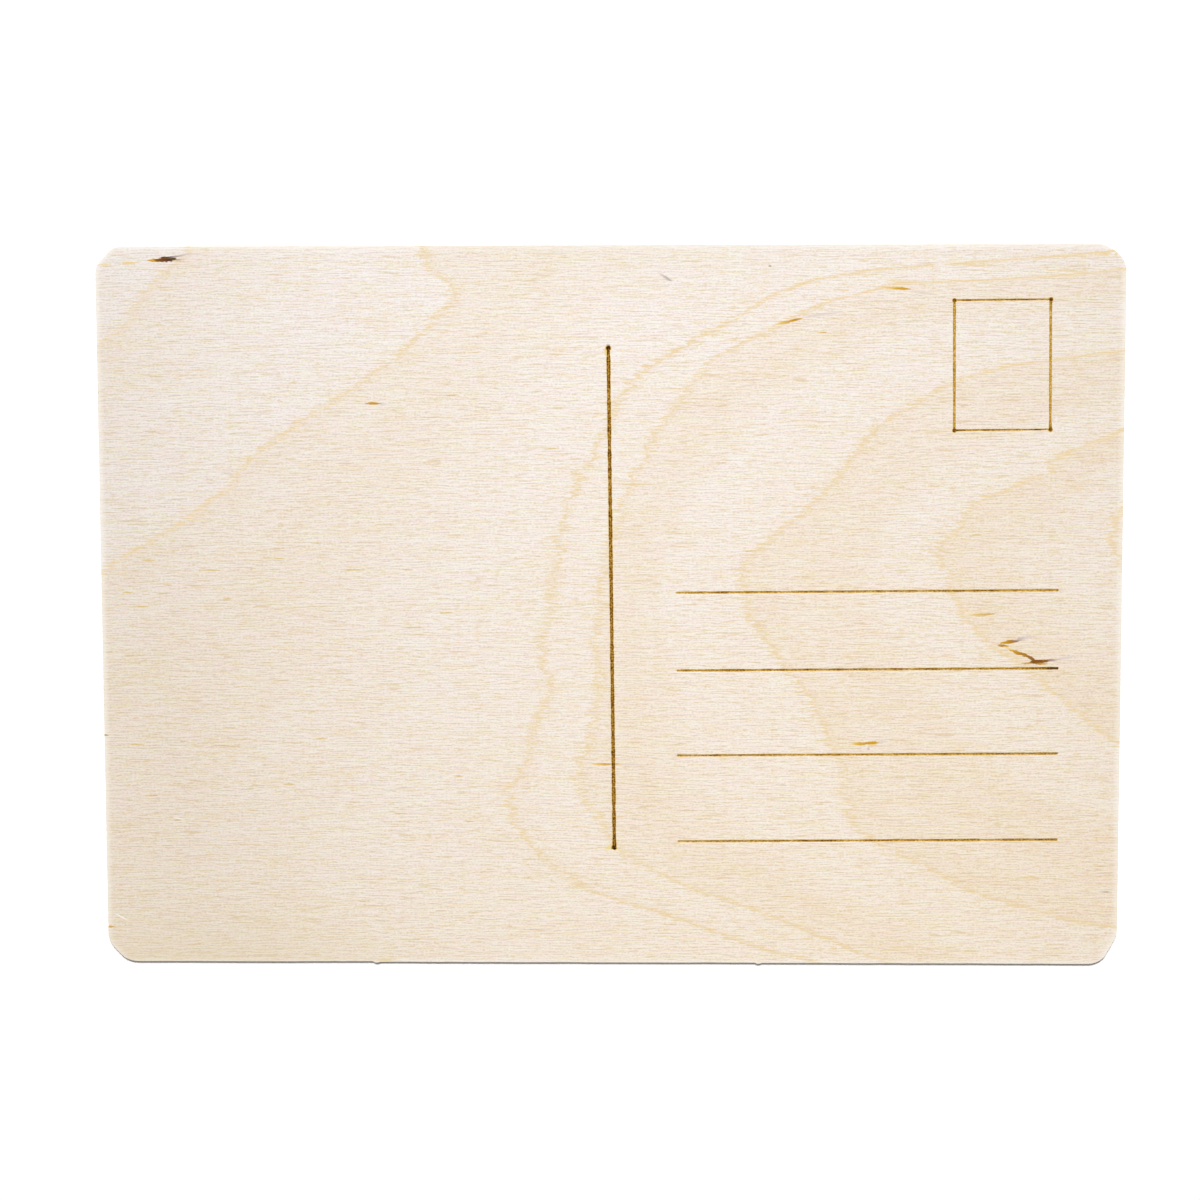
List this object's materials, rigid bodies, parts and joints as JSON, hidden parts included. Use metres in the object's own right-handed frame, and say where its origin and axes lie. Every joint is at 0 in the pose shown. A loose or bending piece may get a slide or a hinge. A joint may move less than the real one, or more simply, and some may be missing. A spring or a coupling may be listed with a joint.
{
  "type": "postcard",
  "caption": "Thin birch plywood postcard in A6 with eased corners; its address side has a scored divider, address rules and a stamp frame.",
  "frame": {"origin": "centre of the back face, which is the lowest face", "axes": "+X along the long side to the reader's right, +Y up the card as it is read, +Z out of the address side"},
  "size_m": [0.148, 0.105, 0.001],
  "materials": {
    "birch_face": "raw sanded birch, grain along the long side, scored lines burnt brown",
    "birch_core": "raw birch, grain across the card, cut edges only",
    "birch_back": "raw sanded birch, grain along the long side",
    "glue_line": "cured resin glue, thin amber brown line"
  },
  "bodies": {
    "root": {"face_veneer": "birch_face", "face_glue_film": "glue_line", "core_veneer": "birch_core", "back_glue_film": "glue_line", "back_veneer": "birch_back"}
  },
  "joints": []
}
